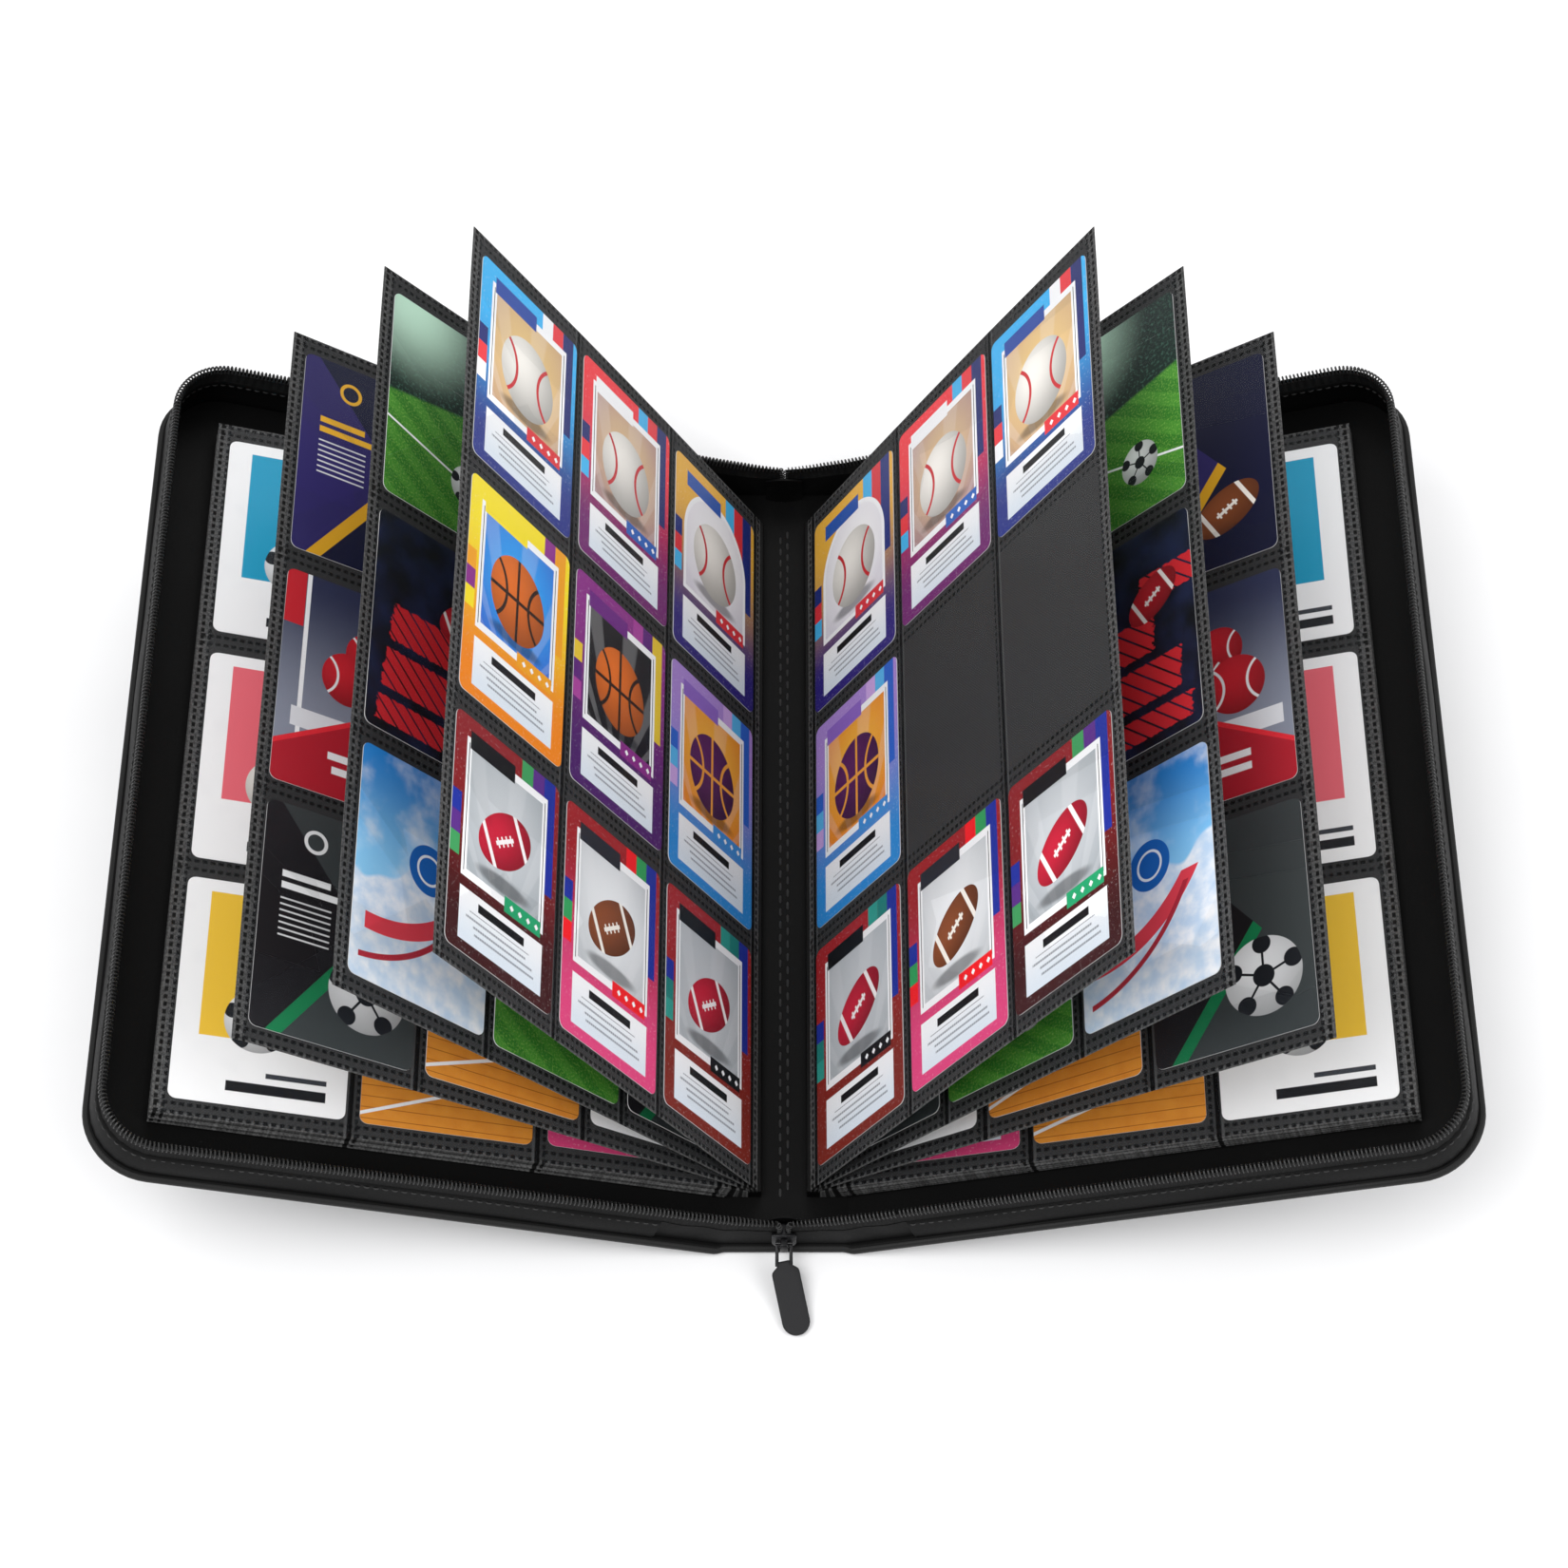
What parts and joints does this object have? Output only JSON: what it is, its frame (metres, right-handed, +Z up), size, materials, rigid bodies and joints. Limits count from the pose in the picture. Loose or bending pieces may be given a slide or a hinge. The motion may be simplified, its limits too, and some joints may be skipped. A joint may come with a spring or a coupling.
{
  "type": "trading card binder",
  "caption": "Zip-around card binder standing open on its spine, with fanned nine-pocket leaves, stitched black covers and a zip slider with a pull tab.",
  "frame": {"origin": "middle of the spine's resting face", "axes": "+X across the spine towards the back cover, +Y along the spine from tail to head, +Z up"},
  "size_m": [0.4942, 0.3735, 0.1974],
  "materials": {
    "leather": "pebbled black synthetic leather",
    "lining": "matt black lining cloth",
    "board": "grey greyboard",
    "zip_tape": "black herringbone tape",
    "zip_teeth": "black nylon coil",
    "thread": "black sewing thread",
    "leaf_sheet": "charcoal non-woven sheet",
    "pocket_film": "clear film",
    "card": "printed card, satin",
    "zip_metal": "satin black",
    "puller_rubber": "matt soft rubber"
  },
  "bodies": {
    "spine": {"spine_board": "board", "spine_skin": "leather", "spine_lining": "lining", "spine_seam": "thread", "front_leaf_binding": "leaf_sheet", "back_leaf_binding": "leaf_sheet", "tail_end_panel": "lining", "head_end_panel": "lining", "tail_zip_stop": "zip_metal", "head_zip_stop": "zip_metal"},
    "zip_slider": {"slider_body": "zip_metal", "slider_bridge": "zip_metal"},
    "puller": {"puller_link": "zip_metal", "puller_tab": "puller_rubber"},
    "front_cover": {"front_board": "board", "front_skin": "leather", "front_lining": "lining", "front_gusset": "leather", "front_zip_tape": "zip_tape", "front_zip_teeth": "zip_teeth", "front_edge_stitching": "thread"},
    "front_leaf_stack": {"front_tray_leaves": "leaf_sheet", "front_leaf_4_sheet": "leaf_sheet", "front_leaf_4_pockets": "pocket_film", "front_leaf_4_cards": "card"},
    "front_leaf_1": {"front_leaf_1_sheet": "leaf_sheet", "front_leaf_1_pockets": "pocket_film", "front_leaf_1_cards": "card"},
    "front_leaf_2": {"front_leaf_2_sheet": "leaf_sheet", "front_leaf_2_pockets": "pocket_film", "front_leaf_2_cards": "card"},
    "front_leaf_3": {"front_leaf_3_sheet": "leaf_sheet", "front_leaf_3_pockets": "pocket_film", "front_leaf_3_cards": "card"},
    "back_cover": {"back_board": "board", "back_skin": "leather", "back_lining": "lining", "back_gusset": "leather", "back_zip_tape": "zip_tape", "back_zip_teeth": "zip_teeth", "back_edge_stitching": "thread"},
    "back_leaf_stack": {"back_tray_leaves": "leaf_sheet", "back_leaf_4_sheet": "leaf_sheet", "back_leaf_4_pockets": "pocket_film", "back_leaf_4_cards": "card"},
    "back_leaf_1": {"back_leaf_1_sheet": "leaf_sheet", "back_leaf_1_pockets": "pocket_film", "back_leaf_1_cards": "card"},
    "back_leaf_2": {"back_leaf_2_sheet": "leaf_sheet", "back_leaf_2_pockets": "pocket_film", "back_leaf_2_cards": "card"},
    "back_leaf_3": {"back_leaf_3_sheet": "leaf_sheet", "back_leaf_3_pockets": "pocket_film", "back_leaf_3_cards": "card"}
  },
  "joints": [
    {"name": "front_cover_fold", "type": "hinge", "parent": "spine", "child": "front_cover", "pos_m": [-0.024, 0, 0.0019], "axis": [0, 1, 0], "range_deg": [-18, 72]},
    {"name": "front_leaf_stack_turn", "type": "hinge", "parent": "spine", "child": "front_leaf_stack", "pos_m": [-0.0215, 0, 0.0044], "axis": [0, 1, 0], "range_deg": [-18, 72]},
    {"name": "front_leaf_1_turn", "type": "hinge", "parent": "spine", "child": "front_leaf_1", "pos_m": [-0.00985, 0, 0.01], "axis": [0, 1, 0], "range_deg": [-7.2, 28.8]},
    {"name": "front_leaf_2_turn", "type": "hinge", "parent": "spine", "child": "front_leaf_2", "pos_m": [-0.01135, 0, 0.01], "axis": [0, 1, 0], "range_deg": [-9.9, 39.6]},
    {"name": "front_leaf_3_turn", "type": "hinge", "parent": "spine", "child": "front_leaf_3", "pos_m": [-0.01285, 0, 0.01], "axis": [0, 1, 0], "range_deg": [-13.5, 54]},
    {"name": "back_cover_fold", "type": "hinge", "parent": "spine", "child": "back_cover", "pos_m": [0.024, 0, 0.0019], "axis": [0, -1, 0], "range_deg": [-18, 72]},
    {"name": "back_leaf_stack_turn", "type": "hinge", "parent": "spine", "child": "back_leaf_stack", "pos_m": [0.0215, 0, 0.0044], "axis": [0, -1, 0], "range_deg": [-18, 72]},
    {"name": "back_leaf_1_turn", "type": "hinge", "parent": "spine", "child": "back_leaf_1", "pos_m": [0.00985, 0, 0.01], "axis": [0, -1, 0], "range_deg": [-7.2, 28.8]},
    {"name": "back_leaf_2_turn", "type": "hinge", "parent": "spine", "child": "back_leaf_2", "pos_m": [0.01135, 0, 0.01], "axis": [0, -1, 0], "range_deg": [-9.9, 39.6]},
    {"name": "back_leaf_3_turn", "type": "hinge", "parent": "spine", "child": "back_leaf_3", "pos_m": [0.01285, 0, 0.01], "axis": [0, -1, 0], "range_deg": [-13.5, 54]},
    {"name": "slider_slide", "type": "slide", "parent": "spine", "child": "zip_slider", "axis": [0, 0, 1], "range_m": [0, 0.008]},
    {"name": "puller_swing", "type": "hinge", "parent": "zip_slider", "child": "puller", "pos_m": [0, -0.1707, 0.0091], "axis": [-1, 0, 0], "range_deg": [-68, 100]}
  ],
  "couplings": [
    {"joint": "front_leaf_stack_turn", "follows": "front_cover_fold", "ratio": 1},
    {"joint": "front_leaf_1_turn", "follows": "front_cover_fold", "ratio": 0.4},
    {"joint": "front_leaf_2_turn", "follows": "front_cover_fold", "ratio": 0.55},
    {"joint": "front_leaf_3_turn", "follows": "front_cover_fold", "ratio": 0.75},
    {"joint": "back_leaf_stack_turn", "follows": "back_cover_fold", "ratio": 1},
    {"joint": "back_leaf_1_turn", "follows": "back_cover_fold", "ratio": 0.4},
    {"joint": "back_leaf_2_turn", "follows": "back_cover_fold", "ratio": 0.55},
    {"joint": "back_leaf_3_turn", "follows": "back_cover_fold", "ratio": 0.75}
  ]
}
